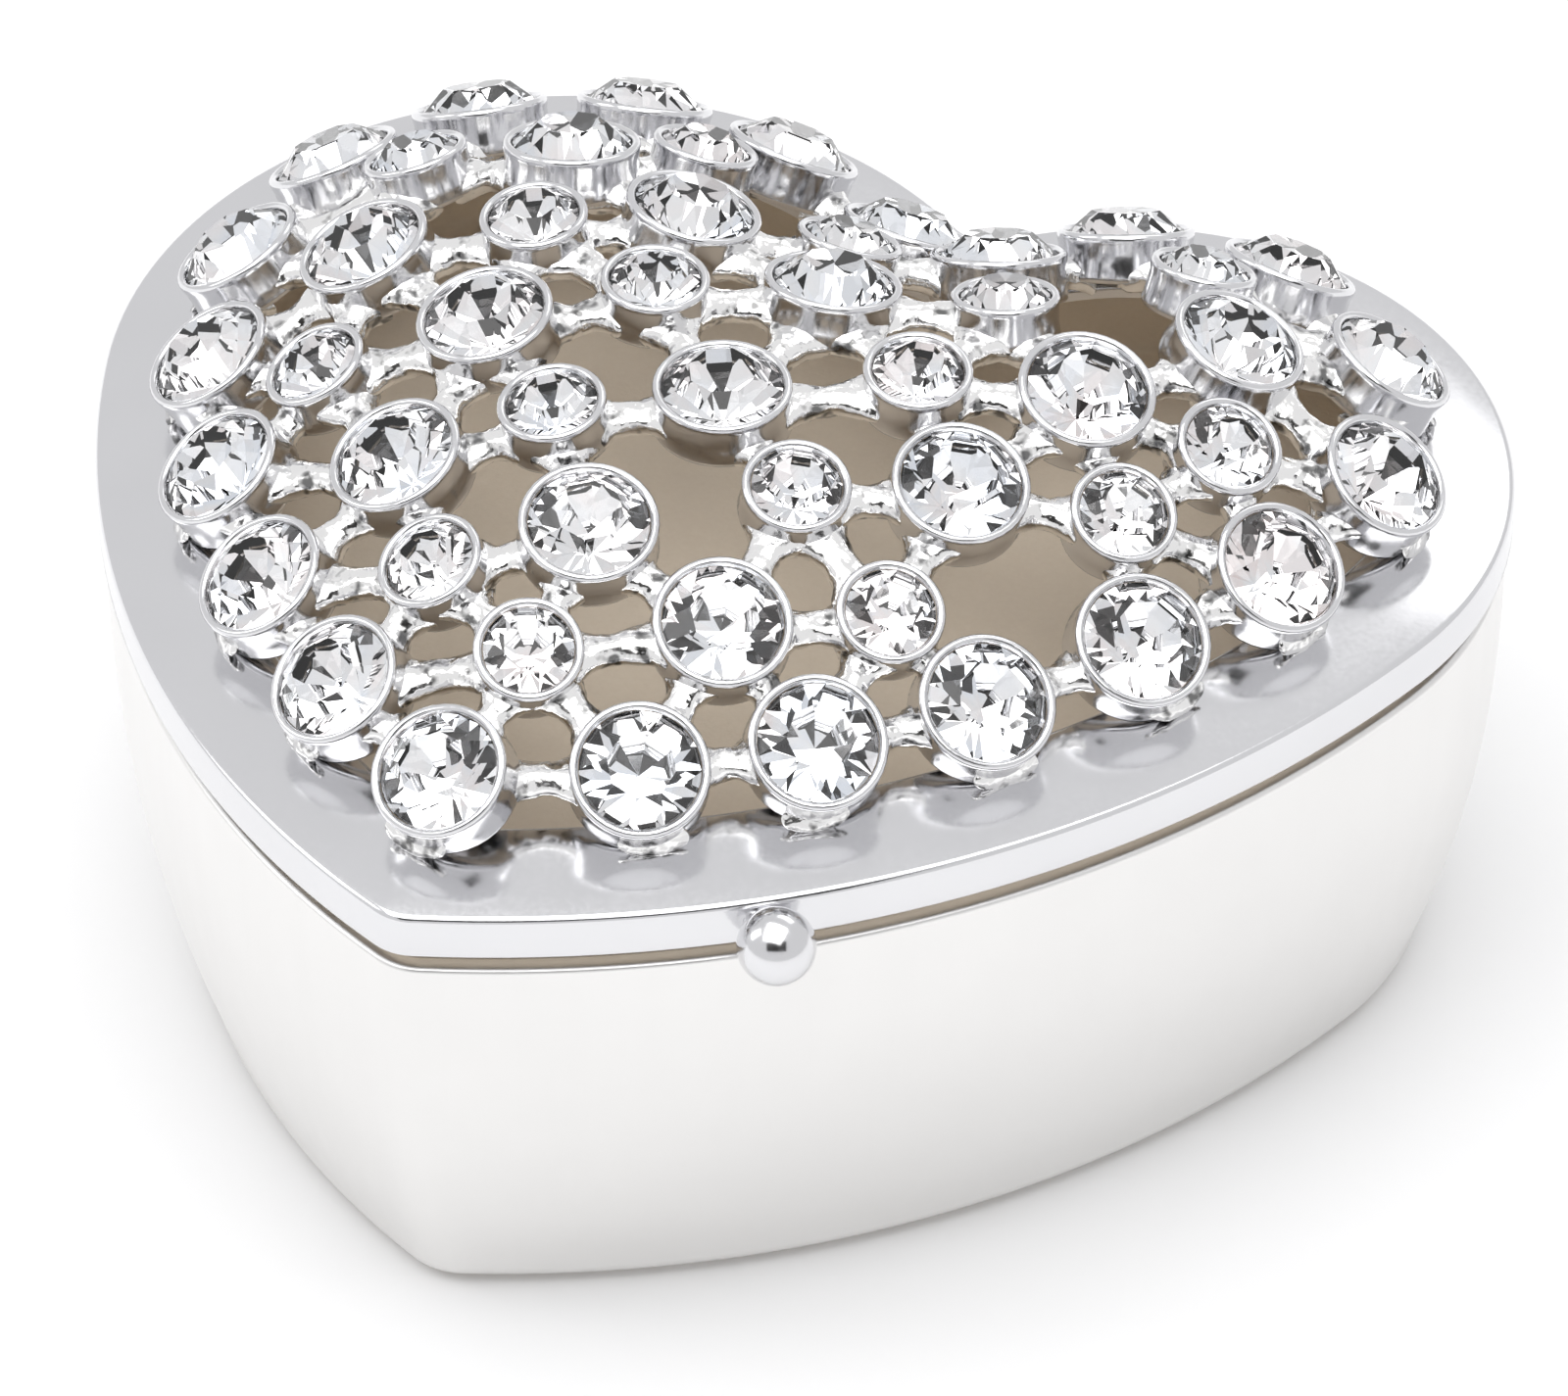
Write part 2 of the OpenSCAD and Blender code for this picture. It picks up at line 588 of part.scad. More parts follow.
// Comb: tuned steel teeth reach the cylinder from a heavy base
comb_tip_y = cyl_y + cyl_r + pin_h + 0.15;
comb_root_y = 19.8;
comb_back_y = 24;
comb_t = 0.8;
comb_slit = 0.24;
module comb() {
    w = comb_pitch*comb_teeth;
    color(steel) difference() {
        translate([comb_x, comb_tip_y, cyl_z - comb_t/2]) cube([w, comb_back_y - comb_tip_y, comb_t]);
        for (i = [1:comb_teeth - 1])
            translate([comb_x + i*comb_pitch - comb_slit/2, comb_tip_y - 1, cyl_z - 1])
                cube([comb_slit, comb_root_y - comb_tip_y + 1, 2]);
        for (x = comb_screw_x) translate([x, comb_back_y - 2, cyl_z - 1]) cylinder(r = screw_r + 0.1, h = 2);
    }
}
comb_screw_x = [comb_x + 3.5, comb_x + comb_pitch*comb_teeth/2, comb_x + comb_pitch*comb_teeth - 3.5];
module comb_base() {
    color(zinc) translate([comb_x, comb_root_y + 0.4, bed_top])
        cube([comb_pitch*comb_teeth, comb_back_y - comb_root_y - 0.4, cyl_z - comb_t/2 - bed_top]);
}
module comb_screws() {
    color(brass) for (x = comb_screw_x) translate([x, comb_back_y - 2, cyl_z + comb_t/2])
        pan_screw(4, 1.6, 0.9);
}

// Stop rod: the closed lid holds it down and its arm stands over the fly
stop_at = [33, -7.8];
stop_r = 0.8;
stop_top = 39.1;
stop_arm_z = fly_z + fly_h + 0.3;
module stop_rod() {
    v = fly_at + [2.9, -2.2] - stop_at;
    color(steel) {
        translate([stop_at[0], stop_at[1], 11.5]) cylinder(r = stop_r, h = stop_top - 11.5);
        translate([stop_at[0], stop_at[1], stop_arm_z - 0.2]) cylinder(r = stop_r + 0.7, h = 0.6);
        translate([stop_at[0], stop_at[1], stop_arm_z]) rotate([0, 0, angle_of(v)]) translate([0, -0.6, 0])
            cube([norm(v), 1.2, 0.4]);
    }
}
module stop_rod_guide() {
    color(brass) translate([stop_at[0], stop_at[1], bed_z]) difference() {
        cylinder(r = 1.6, h = 11);
        translate([0, 0, -1]) cylinder(r = stop_r + run_fit, h = 14);
    }
}

body_shell();
base_felt();
base_plate();
base_plate_screws();
lining_floor();
lining_wall();
body_hinge_leaves();
hinge_pins();
lid_rim();
lid_hinge_leaves();
lid_setting_web();
outer_row_stones();
inner_large_stones();
small_stones();
lid_knob();
movement_bedplate();
movement_screws();
spring_housing();
mainspring();
winding_arbor();
winding_key();
crown_wheel();
cylinder_drum();
cylinder_pins();
cylinder_shaft();
cylinder_pinion();
cylinder_gear();
cylinder_bracket();
governor_plates();
comb();
comb_base();
comb_screws();
governor_shaft();
governor_pinion();
governor_wheel();
governor_screw();
fly_arbor();
governor_fly();
stop_rod();
stop_rod_guide();
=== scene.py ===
import json
import math

import bpy
import numpy as np
from mathutils import Matrix, Vector


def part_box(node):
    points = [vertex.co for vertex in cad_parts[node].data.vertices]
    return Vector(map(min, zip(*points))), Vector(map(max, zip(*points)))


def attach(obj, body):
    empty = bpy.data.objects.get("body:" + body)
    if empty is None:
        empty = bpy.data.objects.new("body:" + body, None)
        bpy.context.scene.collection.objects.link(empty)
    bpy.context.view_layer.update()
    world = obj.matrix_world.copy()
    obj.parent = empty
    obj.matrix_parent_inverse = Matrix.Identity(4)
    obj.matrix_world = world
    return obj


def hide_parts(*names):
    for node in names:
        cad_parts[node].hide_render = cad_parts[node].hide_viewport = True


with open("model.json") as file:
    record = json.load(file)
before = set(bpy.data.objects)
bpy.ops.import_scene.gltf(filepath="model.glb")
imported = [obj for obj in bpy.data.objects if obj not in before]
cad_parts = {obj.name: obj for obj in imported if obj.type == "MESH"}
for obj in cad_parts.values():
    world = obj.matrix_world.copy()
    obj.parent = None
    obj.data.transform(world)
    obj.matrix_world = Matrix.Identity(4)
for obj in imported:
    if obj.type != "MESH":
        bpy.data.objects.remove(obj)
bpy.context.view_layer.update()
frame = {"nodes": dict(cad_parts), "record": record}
bpy.ops.object.select_all(action="DESELECT")
mm = 0.001
print("frame loaded")

# Camera, floor and light

view = {"azimuth": 21, "elevation": 42, "distance": 1.098, "lens": 359.4, "sensor": 36,
        "aim": (0.0041, -0.0031, 0.0282)}
studio = {
    "world": (0.80, 0.80, 0.81),
    "floor": (0.80, 0.80, 0.80),
    "floorGlow": 0.1,
    "floorSize": 6.0,
    "blind": {"distance": 5.6, "width": 6.0, "height": 3.0, "colour": (0.03, 0.028, 0.027)},
    # azimuth, elevation, distance, width, height, radiance
    "softboxes": {
        "backBox": (175, 42, 1.7, 1.0, 0.5, 1.0),
        "topBox": (0, 79, 1.5, 1.6, 1.6, 2.0),
        "leftBox": (-75, 35, 1.6, 0.5, 0.8, 2.0),
    },
}


def directionOf(azimuth, elevation):
    a, e = math.radians(azimuth), math.radians(elevation)
    return Vector((math.sin(a) * math.cos(e), -math.cos(a) * math.cos(e), math.sin(e)))


def addCamera():
    back = directionOf(view["azimuth"], view["elevation"])
    bpy.ops.object.camera_add(location=Vector(view["aim"]) + back * view["distance"])
    camera = bpy.context.object
    camera.name = "camera"
    camera.rotation_euler = back.to_track_quat("Z", "Y").to_euler()
    camera.data.lens = view["lens"]
    camera.data.sensor_width = view["sensor"]
    camera.data.clip_start = 0.01
    bpy.context.scene.camera = camera


def addSoftbox(name, azimuth, elevation, distance, width, height, radiance):
    back = directionOf(azimuth, elevation)
    bpy.ops.object.light_add(type="AREA", location=back * distance)
    lamp = bpy.context.object
    lamp.name = name
    lamp.rotation_euler = back.to_track_quat("Z", "Y").to_euler()
    lamp.data.shape = "RECTANGLE"
    lamp.data.size, lamp.data.size_y = width, height
    lamp.data.energy = radiance * math.pi * width * height


def newMaterial(name, colour, metallic=0.0, roughness=0.5):
    material = bpy.data.materials.new(name)
    material.use_nodes = True
    material.diffuse_color = (*colour, 1)
    shader = material.node_tree.nodes["Principled BSDF"]
    shader.inputs["Base Color"].default_value = (*colour, 1)
    shader.inputs["Metallic"].default_value = metallic
    shader.inputs["Roughness"].default_value = roughness
    return material, shader


def addStage():
    bpy.ops.mesh.primitive_plane_add(size=studio["floorSize"])
    floor = bpy.context.object
    floor.name = "floor"
    paper, shader = newMaterial("paleFloor", studio["floor"], 0.0, 0.9)
    shader.inputs["Emission Color"].default_value = (1, 1, 1, 1)
    shader.inputs["Emission Strength"].default_value = studio["floorGlow"]
    floor.data.materials.append(paper)
    blindSize = studio["blind"]
    bpy.ops.mesh.primitive_plane_add(size=1)
    blind = bpy.context.object
    blind.name = "cameraBlind"
    back = directionOf(view["azimuth"], view["elevation"])
    blind.data.transform(Matrix.Translation(back * blindSize["distance"])
                         @ back.to_track_quat("Z", "Y").to_matrix().to_4x4()
                         @ Matrix.Diagonal((blindSize["width"], blindSize["height"], 1, 1)))
    blind.data.materials.append(newMaterial("darkBlind", blindSize["colour"], 0.0, 0.9)[0])
    world = bpy.data.worlds.new("studioWorld")
    bpy.context.scene.world = world
    world.use_nodes = True
    world.node_tree.nodes["Background"].inputs["Color"].default_value = (*studio["world"], 1)
    for name, box in studio["softboxes"].items():
        addSoftbox(name, *box)
    bpy.context.scene.view_settings.view_transform = "Standard"


addCamera()
addStage()
print("camera and stage ready")

# Shaping


def activate(*pieces):
    bpy.ops.object.select_all(action="DESELECT")
    for piece in pieces:
        piece.select_set(True)
    bpy.context.view_layer.objects.active = pieces[0]


def modify(piece, kind, **settings):
    activate(piece)
    modifier = piece.modifiers.new(kind.lower(), kind)
    for key, value in settings.items():
        setattr(modifier, key, value)
    bpy.ops.object.modifier_apply(modifier=modifier.name)


def mergeAndFace(piece, threshold=1e-7):
    activate(piece)
    bpy.ops.object.mode_set(mode="EDIT")
    bpy.ops.mesh.select_all(action="SELECT")
    bpy.ops.mesh.remove_doubles(threshold=threshold)
    bpy.ops.mesh.normals_make_consistent(inside=False)
    bpy.ops.object.mode_set(mode="OBJECT")


def wrapped(name, rings):
    # a grid rolled up so that each of its rows follows a closed ring of points
    rows, columns = len(rings), len(rings[0])
    bpy.ops.mesh.primitive_grid_add(x_subdivisions=columns, y_subdivisions=rows - 1, size=1)
    piece = bpy.context.object
    piece.name = piece.data.name = name
    for j, ring in enumerate(rings):
        for i in range(columns + 1):
            piece.data.vertices[j * (columns + 1) + i].co = ring[i % columns]
    mergeAndFace(piece)
    return piece


def turned(name, profile, around):
    # a profile of (radius, height) points turned about Z, in millimetres
    angles = [2 * math.pi * i / around for i in range(around)]
    return wrapped(name, [[(r * mm * math.cos(a), r * mm * math.sin(a), z * mm) for a in angles]
                          for r, z in profile])


def joined(name, pieces):
    activate(*pieces)
    bpy.ops.object.join()
    whole = bpy.context.object
    whole.name = whole.data.name = name
    return whole


def copied(piece, matrix, name=None):
    twin = piece.copy()
    twin.data = piece.data.copy()
    twin.name = twin.data.name = name or piece.name
    bpy.context.scene.collection.objects.link(twin)
    twin.data.transform(matrix)
    return twin


def removed(*pieces):
    for piece in pieces:
        mesh = piece.data
        bpy.data.objects.remove(piece)
        bpy.data.meshes.remove(mesh)


def smooth(piece, angle=35):
    activate(piece)
    bpy.ops.object.shade_smooth_by_angle(angle=math.radians(angle))


def dressed(piece, material, body, slot, *nodes):
    piece.data.materials.clear()
    piece.data.materials.append(material)
    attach(piece, body)
    if nodes:
        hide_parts(*nodes)
    return piece


# Materials


def link(tree, fromNode, fromSocket, toNode, toSocket):
    tree.links.new(fromNode.outputs[fromSocket], toNode.inputs[toSocket])


def objectPoints(tree, scale=(1, 1, 1)):
    coordinates = tree.nodes.new("ShaderNodeTexCoord")
    mapping = tree.nodes.new("ShaderNodeMapping")
    mapping.inputs["Scale"].default_value = scale
    link(tree, coordinates, "Object", mapping, "Vector")
    return mapping


def noise(tree, scale, detail=3.0, stretch=(1, 1, 1), roughness=0.5):
    texture = tree.nodes.new("ShaderNodeTexNoise")
    texture.inputs["Scale"].default_value = scale
    texture.inputs["Detail"].default_value = detail
    texture.inputs["Roughness"].default_value = roughness
    link(tree, objectPoints(tree, stretch), "Vector", texture, "Vector")
    return texture


def ramp(tree, source, socket, stops):
    node = tree.nodes.new("ShaderNodeValToRGB")
    node.color_ramp.elements[0].position, node.color_ramp.elements[1].position = stops[0][0], stops[-1][0]
    for position, colour in stops[1:-1]:
        node.color_ramp.elements.new(position)
    for element, (position, colour) in zip(node.color_ramp.elements, stops):
        element.color = (*colour, 1) if len(colour) == 3 else (colour[0], colour[0], colour[0], 1)
    link(tree, source, socket, node, "Fac")
    return node


def bump(tree, shader, source, socket, strength, distance, previous=None):
    node = tree.nodes.new("ShaderNodeBump")
    node.inputs["Strength"].default_value = strength
    node.inputs["Distance"].default_value = distance
    link(tree, source, socket, node, "Height")
    if previous:
        link(tree, previous, "Normal", node, "Normal")
    link(tree, node, "Normal", shader, "Normal")
    return node


def metalFinish(name, colour, shade, roughLow, roughHigh, grainScale, grainDepth, stretch=(1, 1, 1),
                waveDepth=0.0, waveScale=90, waveEdge=(0.35, 0.65)):
    # a metal whose colour, roughness and relief vary with fine grain and slow waves
    material, shader = newMaterial(name, colour, 1.0, roughLow)
    tree = material.node_tree
    slow = noise(tree, waveScale, 2)
    tint = ramp(tree, slow, "Fac", [(waveEdge[0], tuple(c * shade for c in colour)), (waveEdge[1], colour)])
    link(tree, tint, "Color", shader, "Base Color")
    grain = noise(tree, grainScale, 4, stretch)
    rough = ramp(tree, grain, "Fac", [(0.3, (roughLow,)), (0.7, (roughHigh,))])
    link(tree, rough, "Color", shader, "Roughness")
    fine = bump(tree, shader, grain, "Fac", 1.0, grainDepth)
    if waveDepth:
        bump(tree, shader, slow, "Fac", 1.0, waveDepth, fine)
    return material


def clothFinish(name, low, high, fibreScale, depth, sheen):
    material, shader = newMaterial(name, high, 0.0, 0.95)
    tree = material.node_tree
    fibres = noise(tree, fibreScale, 6, roughness=0.7)
    patches = noise(tree, 70, 3)
    mix = tree.nodes.new("ShaderNodeMath")
    mix.operation = "MULTIPLY_ADD"
    mix.inputs[1].default_value = 0.45
    link(tree, patches, "Fac", mix, 0)
    half = tree.nodes.new("ShaderNodeMath")
    half.operation = "MULTIPLY"
    half.inputs[1].default_value = 0.55
    link(tree, fibres, "Fac", half, 0)
    link(tree, half, 0, mix, 2)
    tint = ramp(tree, mix, 0, [(0.35, low), (0.65, high)])
    link(tree, tint, "Color", shader, "Base Color")
    bump(tree, shader, fibres, "Fac", 1.0, depth)
    shader.inputs["Sheen Weight"].default_value = sheen
    shader.inputs["Sheen Roughness"].default_value = 0.5
    return material


finishes = {
    "polished_silver": metalFinish("polishedSilver", (0.76, 0.76, 0.775), 0.98, 0.12, 0.19, 2600, 0.0000015,
                                   waveDepth=0.00001),
    "satin_silver": metalFinish("satinSilver", (0.83, 0.822, 0.811), 0.985, 0.30, 0.38, 420, 0.0000012,
                                stretch=(1, 1, 0.05)),
    "cast_silver": metalFinish("castSilver", (0.96, 0.955, 0.945), 0.22, 0.06, 0.24, 1100, 0.00006,
                               waveDepth=0.00022, waveScale=620, waveEdge=(0.33, 0.43)),
    "flock": clothFinish("flockedLining", (0.88, 0.76, 0.61), (0.93, 0.815, 0.665), 2400, 0.00004, 0.25),
    "felt": clothFinish("baseFelt", (0.36, 0.29, 0.22), (0.50, 0.42, 0.33), 1800, 0.00012, 0.3),
    "brass": metalFinish("cleanBrass", (0.83, 0.64, 0.30), 0.9, 0.16, 0.32, 1400, 0.000006),
    "steel": metalFinish("groundSteel", (0.62, 0.63, 0.65), 0.9, 0.18, 0.34, 900, 0.000006, stretch=(1, 1, 6)),
    "spring_steel": metalFinish("bluedSteel", (0.22, 0.28, 0.42), 0.85, 0.22, 0.36, 900, 0.000005,
                                stretch=(1, 1, 8)),
    "zinc": metalFinish("castZinc", (0.70, 0.71, 0.72), 0.88, 0.34, 0.52, 2200, 0.00002),
}


def crystalFinish():
    material, shader = newMaterial("cutCrystal", (0.985, 0.99, 1.0), 0.0, 0.0)
    shader.inputs["Transmission Weight"].default_value = 1.0
    shader.inputs["IOR"].default_value = 1.55
    tree = material.node_tree
    bump(tree, shader, noise(tree, 700, 2), "Fac", 1.0, 0.0000012)
    return material


def foilFinish():
    material, shader = newMaterial("stoneFoil", (0.94, 0.93, 0.93), 1.0, 0.02)
    tree = material.node_tree
    tint = ramp(tree, noise(tree, 260, 1), "Fac", [(0.34, (0.96, 0.92, 0.91)), (0.5, (0.95, 0.95, 0.95)),
                                                          (0.66, (0.91, 0.93, 0.96))])
    link(tree, tint, "Color", shader, "Base Color")
    return material


crystal, foil = crystalFinish(), foilFinish()
print("materials ready")

# The heart outline, moved in all round by a distance in millimetres

rimLow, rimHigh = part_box("lid_rim")
heart = {
    "leftLobe": 33, "rightLobe": 27, "leftFlank": 70, "rightFlank": 87,
    "tipX": -8, "tip": 4, "cleft": 3, "sharpest": 2,
    "left": rimLow.x / mm, "right": rimHigh.x / mm, "back": rimHigh.y / mm, "front": rimLow.y / mm,
    "steps": (8, 36, 60, 12, 64, 36),
}


def crossing(a, ra, b, rb):
    v = b - a
    d = v.length
    x = (ra * ra - rb * rb + d * d) / (2 * d)
    h = math.sqrt(max(ra * ra - x * x, 0))
    return a + v * (x / d) + Vector((-v.y, v.x)) * (h / d)


def heading(v, least=-math.pi):
    a = math.atan2(v.y, v.x)
    while a < least:
        a += 2 * math.pi
    return a


def heartLoop(inset, leastTip=heart["sharpest"]):
    h = heart
    left = Vector((h["left"] + h["leftLobe"], h["back"] - h["leftLobe"]))
    right = Vector((h["right"] - h["rightLobe"], h["back"] - h["rightLobe"]))
    tipEnd = Vector((h["tipX"], h["front"] + h["tip"]))
    leftSide = crossing(left, h["leftFlank"] - h["leftLobe"], tipEnd, h["leftFlank"] - h["tip"])
    rightSide = crossing(tipEnd, h["rightFlank"] - h["tip"], right, h["rightFlank"] - h["rightLobe"])
    cleft = crossing(left, h["leftLobe"] + h["cleft"], right, h["rightLobe"] + h["cleft"])
    tip = max(h["tip"] - inset, leastTip)
    tipMiddle = crossing(leftSide, h["leftFlank"] - inset - tip, rightSide, h["rightFlank"] - inset - tip)
    a0 = heading(tipMiddle - leftSide, 0)
    a1 = heading(tipMiddle - rightSide, a0)
    a2 = heading(right - rightSide, a1)
    a3 = heading(cleft - right, a2)
    c0, c1 = heading(right - cleft), heading(left - cleft)
    b0 = heading(cleft - left, 0)
    b1 = heading(left - leftSide, b0)
    b2 = heading(tipMiddle - leftSide, b1)
    arcs = [(tipMiddle, tip, a0, a1), (rightSide, h["rightFlank"] - inset, a1, a2),
            (right, h["rightLobe"] - inset, a2, a3), (cleft, h["cleft"] + inset, c0, c1),
            (left, h["leftLobe"] - inset, b0, b1), (leftSide, h["leftFlank"] - inset, b1, b2)]
    return [centre + r * Vector((math.cos(f), math.sin(f)))
            for (centre, r, start, end), n in zip(arcs, h["steps"])
            for f in [start + (end - start) * i / n for i in range(n)]]


def heartRings(profile):
    return [[(p.x * mm, p.y * mm, z * mm) for p in heartLoop(inset, *tip)] for inset, z, *tip in profile]


def heartTube(name, profile):
    # a closed section of (inset, height) points carried round the heart, with a least tip radius if given
    return wrapped(name, heartRings(profile + profile[:1]))


def corner(inset, z, radius, start, end, count=4):
    # a rounded corner of a section, from one angle to another
    angles = [math.radians(start + (end - start) * i / count) for i in range(count + 1)]
    return [(inset + radius * math.cos(a), z + radius * math.sin(a)) for a in angles]


# Lid rim, body and lining

shellLow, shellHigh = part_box("body_shell")
body = {"top": shellHigh.z / mm, "foot": shellLow.z / mm, "gap": 0.5, "taper": 5.7, "curve": 2.4, "wall": 1.6,
        "ledgeZ": 8.0, "ledge": 4.0, "edge": 0.4, "steps": 16, "outerTip": 4.8, "innerTip": 2.9,
        # the foot's rounding, as steps in from the wall and up from the foot
        "footTop": 1.6, "footRound": ((1.0, 0), (0.62, 0.1), (0.32, 0.36), (0.14, 0.75), (0.04, 1.2)),
        "innerHeights": (30, 26, 22, 18, 14, 11)}


def wallInset(z):
    return body["gap"] + body["taper"] * max(1 - z / body["top"], 0) ** body["curve"]


def buildBody():
    top, foot, edge = body["top"], body["foot"], body["edge"]
    low, high = foot + body["footTop"], top - 0.5
    heights = [low + (high - low) * i / body["steps"] for i in range(body["steps"] + 1)]
    footInset = wallInset(low)
    outside = [(footInset + step, foot + rise) for step, rise in body["footRound"]]
    outside += [(wallInset(z), z) for z in heights]
    upper = corner(body["gap"] + edge, top - edge, edge, 180, 90)
    outerCount = len(upper)
    upper += corner(body["gap"] + body["wall"] - edge, top - edge, edge, 90, 0)
    ledgeInset = wallInset(body["ledgeZ"]) + body["wall"]
    inside = [(wallInset(z) + body["wall"], z) for z in body["innerHeights"] + (body["ledgeZ"],)]
    inside += [(ledgeInset + body["ledge"], body["ledgeZ"]), (ledgeInset + body["ledge"], foot)]
    section = [(i, z, body["outerTip"]) for i, z in outside + upper[:outerCount]]
    section += [(i, z, body["innerTip"]) for i, z in upper[outerCount:] + inside]
    piece = heartTube("satinBody", section)
    smooth(piece, 50)
    return dressed(piece, finishes["satin_silver"], "body", "satin_silver", "body_shell")


rim = {"skirtZ": rimLow.z / mm, "topZ": 40.0, "innerTop": rimHigh.z / mm, "band": 8.2, "skirt": 1.8,
       "edge": 0.55, "innerEdge": 0.4, "lowerEdge": 0.3, "thick": 1.1}


def buildRim():
    edge, inner, lower = rim["edge"], rim["innerEdge"], rim["lowerEdge"]
    skirtZ, top, innerTop, band = rim["skirtZ"], rim["topZ"], rim["innerTop"], rim["band"]
    slope = (innerTop - top) / (band - edge)
    section = corner(lower, skirtZ + lower, lower, 270, 180, 3)
    section += [(0.0, skirtZ + lower + (top - edge - skirtZ - lower) * f) for f in (0.33, 0.66)]
    section += corner(edge, top - edge, edge, 180, 98, 7)
    run = band - inner - edge
    section += [(edge + run * f, top + slope * run * f) for f in (0.25, 0.5, 0.75)]
    section += corner(band - inner, innerTop - inner, inner, 98, 0, 5)
    section += [(band, innerTop - rim["thick"]), (rim["skirt"], top - rim["thick"]), (rim["skirt"], skirtZ)]
    piece = heartTube("lidRim", section)
    smooth(piece, 40)
    return dressed(piece, finishes["polished_silver"], "lid", "polished_silver", "lid_rim")


floorLow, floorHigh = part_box("lining_floor")
lining = {"floorZ": floorHigh.z / mm, "under": floorLow.z / mm, "top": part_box("lining_wall")[1].z / mm, "inset": 2.4,
          "wall": 1.2, "round": 0.9, "middle": (3.0, 2.0), "sink": 0.25}


def buildLining():
    # the wall's rounded top, a soft corner at the floor, and the floor drawn in to one point
    s = lining
    inner = s["inset"] + s["wall"]
    outside = [(s["inset"] + 0.2, s["under"]), (s["inset"] + 0.2, s["floorZ"]), (s["inset"], body["top"])]
    upper = corner(s["inset"] + s["wall"] / 2, s["top"] - s["wall"] / 2, s["wall"] / 2, 180, 0, 6)
    lower = [(inner, z) for z in (s["floorZ"] + 4, s["floorZ"] + 2)] + [
        (inner + s["round"] * (1 - math.cos(a)), s["floorZ"] + s["round"] * (1 - math.sin(a)))
        for a in [math.radians(t) for t in (0, 22, 45, 68, 90)]]
    rings = heartRings([(i, z, body["innerTip"]) for i, z in outside + upper + lower])
    edge, middle = heartLoop(inner + s["round"], body["innerTip"]), Vector(s["middle"])
    for f in (0.94, 0.8, 0.6, 0.4, 0.2, 0.001):
        z = (s["floorZ"] - s["sink"] * (1 - f) * f) * mm
        rings.append([(q.x * mm, q.y * mm, z) for q in [middle + (p - middle) * f for p in edge]])
    underside = heartLoop(s["inset"] + 0.2, body["innerTip"])
    for f in (0.001, 0.5, 1.0):
        points = [middle + (p - middle) * f for p in underside]
        rings.append([(q.x * mm, q.y * mm, s["under"] * mm) for q in points])
    piece = wrapped("linedTray", rings)
    smooth(piece, 50)
    return dressed(piece, finishes["flock"], "body", "flock", "lining_floor", "lining_wall")


felt = {"outerStep": 0.7, "innerStep": 0.3, "round": 0.25, "top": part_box("base_felt")[1].z / mm}


def buildFelt():
    r, thick = felt["round"], felt["top"]
    outer = wallInset(0) + felt["outerStep"]
    inner = wallInset(body["ledgeZ"]) + body["wall"] + body["ledge"] - felt["innerStep"]
    section = corner(outer + r, r, r, 270, 180, 3) + corner(outer + r, thick - r, r, 180, 90, 3)
    section += [(outer + (inner - outer) * f, thick) for f in (0.4, 0.7)]
    section += corner(inner - r, thick - r, r, 90, 0, 3) + corner(inner - r, r, r, 0, -90, 3)
    piece = heartTube("feltFoot", section)
    smooth(piece, 60)
    return dressed(piece, finishes["felt"], "body", "felt", "base_felt")


buildBody()
buildRim()
buildLining()
buildFelt()
print("body, rim, lining and felt ready")

# Stones: each CAD stone's place, axis and radius, and a cut stone put there

stone = {"crown": 0.38, "table": 0.55, "girdle": 0.25, "point": 0.8, "edge": 0.04}


def seatsOf(node):
    # the CAD node's separate solids, each read as (girdle centre, axis, radius) in metres
    piece = copied(frame["nodes"][node], Matrix.Identity(4), "seatFinder")
    piece.hide_render = piece.hide_viewport = False
    mergeAndFace(piece, 1e-6)
    activate(piece)
    bpy.ops.mesh.separate(type="LOOSE")
    found = []
    for part in list(bpy.context.selected_objects):
        points = [v.co.copy() for v in part.data.vertices]
        middle = sum(points, Vector()) / len(points)
        spread = np.cov(np.array(points).T)
        axis = Vector(np.linalg.eigh(spread)[1][:, 0])  # a stone is shortest along its axis
        axis *= math.copysign(1, axis.z)
        for _ in range(6):  # settle the axis on the line from the point's ring to the table's ring
            along = [(p - middle).dot(axis) for p in points]
            top, low = max(along), min(along)
            band = 0.12 * (top - low)
            upper = [p for p, a in zip(points, along) if a > top - band]
            lower = [p for p, a in zip(points, along) if a < low + band]
            head, foot = sum(upper, Vector()) / len(upper), sum(lower, Vector()) / len(lower)
            axis = (head - foot).normalized()
        along = [p.dot(axis) for p in points]
        radius = (max(along) - min(along) - stone["girdle"] * mm) / (stone["crown"] + stone["point"])
        radial = [(p - middle) - axis * (p - middle).dot(axis) for p in points]
        widest = [p for p, r in zip(points, radial) if r.length > 0.93 * radius]
        centre = sum(widest, Vector()) / len(widest)
        centre += axis * (max(along) - stone["crown"] * radius - centre.dot(axis))
        found.append((centre, axis, radius))
    removed(*bpy.context.selected_objects)
    return found


seats = {node: seatsOf(node) for node in ("outer_row_stones", "inner_large_stones", "small_stones")}
for node, found in seats.items():
    print(node, len(found), "radius", round(found[0][2] / mm, 3), "to", round(max(s[2] for s in found) / mm, 3))


